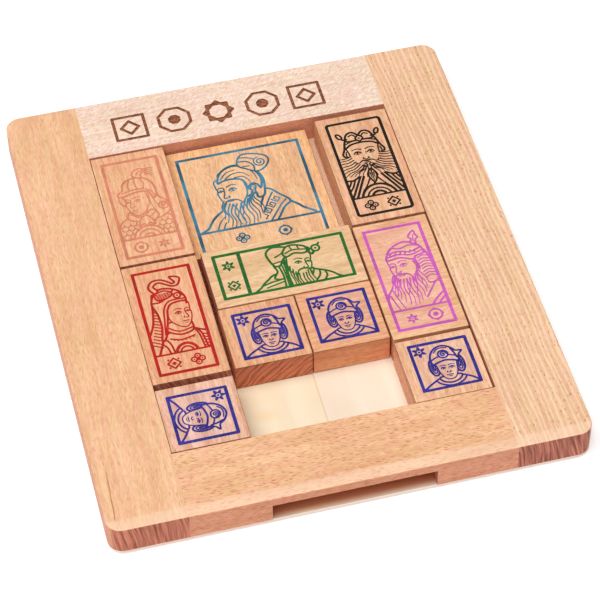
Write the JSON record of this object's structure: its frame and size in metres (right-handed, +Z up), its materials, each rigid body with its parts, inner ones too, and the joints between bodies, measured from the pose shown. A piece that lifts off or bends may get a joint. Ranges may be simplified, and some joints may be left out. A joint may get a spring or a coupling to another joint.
{
  "type": "sliding tile puzzle",
  "caption": "Shallow wooden tray with loose sliding tiles of four sizes and a low exit slot in its front board for the thin large tile.",
  "frame": {"origin": "middle of the floor panel's underside", "axes": "+Z up through the open top of the tray, -Y towards the front board with the exit slot, +X to the right when seen from the front"},
  "size_m": [0.1824, 0.2144, 0.0145],
  "materials": {
    "beech_frame": "sanded, unvarnished beech, side boards with the grain running front to back",
    "beech_pale": "sanded pale beech with short flecks",
    "beech_tile": "sanded beech, edges lightly eased",
    "plywood": "thin pale plywood, sanded",
    "dowel_wood": "turned hardwood dowel",
    "burnt_wood": "laser-burnt wood, matt",
    "ink_teal": "flat printing ink",
    "ink_salmon": "flat printing ink",
    "ink_black": "flat printing ink",
    "ink_red": "flat printing ink",
    "ink_magenta": "flat printing ink",
    "ink_green": "flat printing ink",
    "ink_blue": "flat printing ink"
  },
  "bodies": {
    "tray": {"left_stile": "beech_frame", "right_stile": "beech_frame", "top_rail": "beech_pale", "bottom_rail": "beech_frame", "base_panel": "plywood", "front_left_dowel_1": "dowel_wood", "front_left_dowel_2": "dowel_wood", "front_right_dowel_1": "dowel_wood", "front_right_dowel_2": "dowel_wood", "rear_left_dowel_1": "dowel_wood", "rear_left_dowel_2": "dowel_wood", "rear_right_dowel_1": "dowel_wood", "rear_right_dowel_2": "dowel_wood"},
    "large_tile": {"large_tile": "beech_tile"},
    "horizontal_tile": {"horizontal_tile": "beech_tile"},
    "rear_left_vertical_tile": {"rear_left_vertical_tile": "beech_tile"},
    "rear_right_vertical_tile": {"rear_right_vertical_tile": "beech_tile"},
    "front_left_vertical_tile": {"front_left_vertical_tile": "beech_tile"},
    "front_right_vertical_tile": {"front_right_vertical_tile": "beech_tile"},
    "centre_left_small_tile": {"centre_left_small_tile": "beech_tile"},
    "centre_right_small_tile": {"centre_right_small_tile": "beech_tile"},
    "corner_left_small_tile": {"corner_left_small_tile": "beech_tile"},
    "corner_right_small_tile": {"corner_right_small_tile": "beech_tile"}
  },
  "joints": [
    {"name": "large_tile_slide", "type": "slide", "parent": "tray", "child": "large_tile", "axis": [0, 1, 0], "range_m": [-0.0326, 0]},
    {"name": "horizontal_tile_slide", "type": "slide", "parent": "tray", "child": "horizontal_tile", "axis": [0, 1, 0], "range_m": [-0.0326, 0]},
    {"name": "centre_left_small_slide", "type": "slide", "parent": "tray", "child": "centre_left_small_tile", "axis": [0, 1, 0], "range_m": [-0.0326, 0]},
    {"name": "centre_right_small_slide", "type": "slide", "parent": "tray", "child": "centre_right_small_tile", "axis": [0, 1, 0], "range_m": [-0.0326, 0]},
    {"name": "corner_left_small_slide", "type": "slide", "parent": "tray", "child": "corner_left_small_tile", "axis": [1, 0, 0], "range_m": [0, 0.0311]},
    {"name": "corner_right_small_slide", "type": "slide", "parent": "tray", "child": "corner_right_small_tile", "axis": [-1, 0, 0], "range_m": [0, 0.0311]},
    {"name": "rear_left_vertical_lift", "type": "slide", "parent": "tray", "child": "rear_left_vertical_tile", "axis": [0, 0, 1], "range_m": [0, 0.015]},
    {"name": "rear_right_vertical_lift", "type": "slide", "parent": "tray", "child": "rear_right_vertical_tile", "axis": [0, 0, 1], "range_m": [0, 0.015]},
    {"name": "front_left_vertical_lift", "type": "slide", "parent": "tray", "child": "front_left_vertical_tile", "axis": [0, 0, 1], "range_m": [0, 0.015]},
    {"name": "front_right_vertical_lift", "type": "slide", "parent": "tray", "child": "front_right_vertical_tile", "axis": [0, 0, 1], "range_m": [0, 0.015]}
  ],
  "couplings": [
    {"joint": "horizontal_tile_slide", "follows": "large_tile_slide", "ratio": 1},
    {"joint": "centre_left_small_slide", "follows": "large_tile_slide", "ratio": 1},
    {"joint": "centre_right_small_slide", "follows": "large_tile_slide", "ratio": 1}
  ]
}
